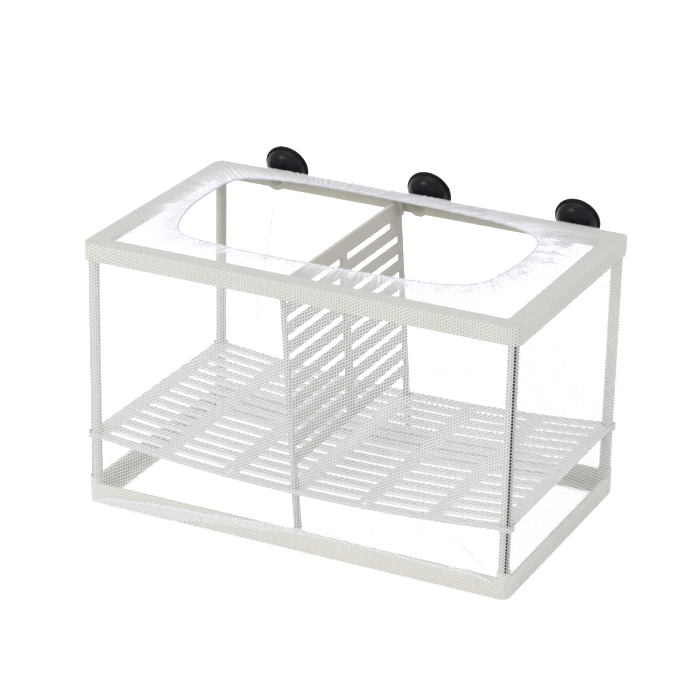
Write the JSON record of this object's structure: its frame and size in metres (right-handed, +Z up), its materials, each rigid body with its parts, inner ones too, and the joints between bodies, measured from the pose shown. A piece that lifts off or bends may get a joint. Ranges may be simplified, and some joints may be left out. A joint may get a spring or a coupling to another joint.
{
  "type": "fish breeding box",
  "caption": "Net breeding box for an aquarium: moulded frames on posts in a net bag with a gathered opening, a slotted shelf, a slotted divider and suction cups for the glass.",
  "frame": {"origin": "under the net floor, at the middle of the frames' length and depth", "axes": "+X along the length, +Y towards the glass that the suction cups stick to, +Z up"},
  "size_m": [0.2656, 0.177, 0.1722],
  "materials": {
    "frame_plastic": "satin white moulded polypropylene",
    "post_plastic": "satin white extruded plastic",
    "shelf_plastic": "satin white moulded polypropylene",
    "divider_plastic": "satin white moulded polypropylene",
    "cup_rubber": "black moulded rubber",
    "netting": "white nylon netting",
    "elastic": "white braided elastic in a net hem"
  },
  "bodies": {
    "box": {"top_frame": "frame_plastic", "base_frame": "frame_plastic", "post_front_left": "post_plastic", "post_front_right": "post_plastic", "post_back_left": "post_plastic", "post_back_right": "post_plastic", "net_floor": "netting", "net_wall_front": "netting", "net_wall_back": "netting", "net_wall_left": "netting", "net_wall_right": "netting", "net_collar": "netting", "elastic_band": "elastic"},
    "shelf": {"shelf": "shelf_plastic"},
    "divider": {"divider": "divider_plastic"},
    "suction_cup_left": {"suction_cup_left": "cup_rubber"},
    "suction_cup_middle": {"suction_cup_middle": "cup_rubber"},
    "suction_cup_right": {"suction_cup_right": "cup_rubber"}
  },
  "joints": [
    {"name": "shelf_slide", "type": "slide", "parent": "box", "child": "shelf", "axis": [0, 0, 1], "range_m": [-0.021, 0.013]},
    {"name": "divider_tilt", "type": "hinge", "parent": "box", "child": "divider", "pos_m": [0, 0, 0.031], "axis": [0, 1, 0], "range_deg": [0, 8.8]},
    {"name": "cup_spin_left", "type": "hinge", "parent": "box", "child": "suction_cup_left", "pos_m": [-0.0919, 0.0795, 0.1553], "axis": [0, 1, 0], "continuous": true},
    {"name": "cup_spin_middle", "type": "hinge", "parent": "box", "child": "suction_cup_middle", "pos_m": [0.0016, 0.0795, 0.1553], "axis": [0, 1, 0], "continuous": true},
    {"name": "cup_spin_right", "type": "hinge", "parent": "box", "child": "suction_cup_right", "pos_m": [0.0951, 0.0795, 0.1553], "axis": [0, 1, 0], "continuous": true}
  ]
}
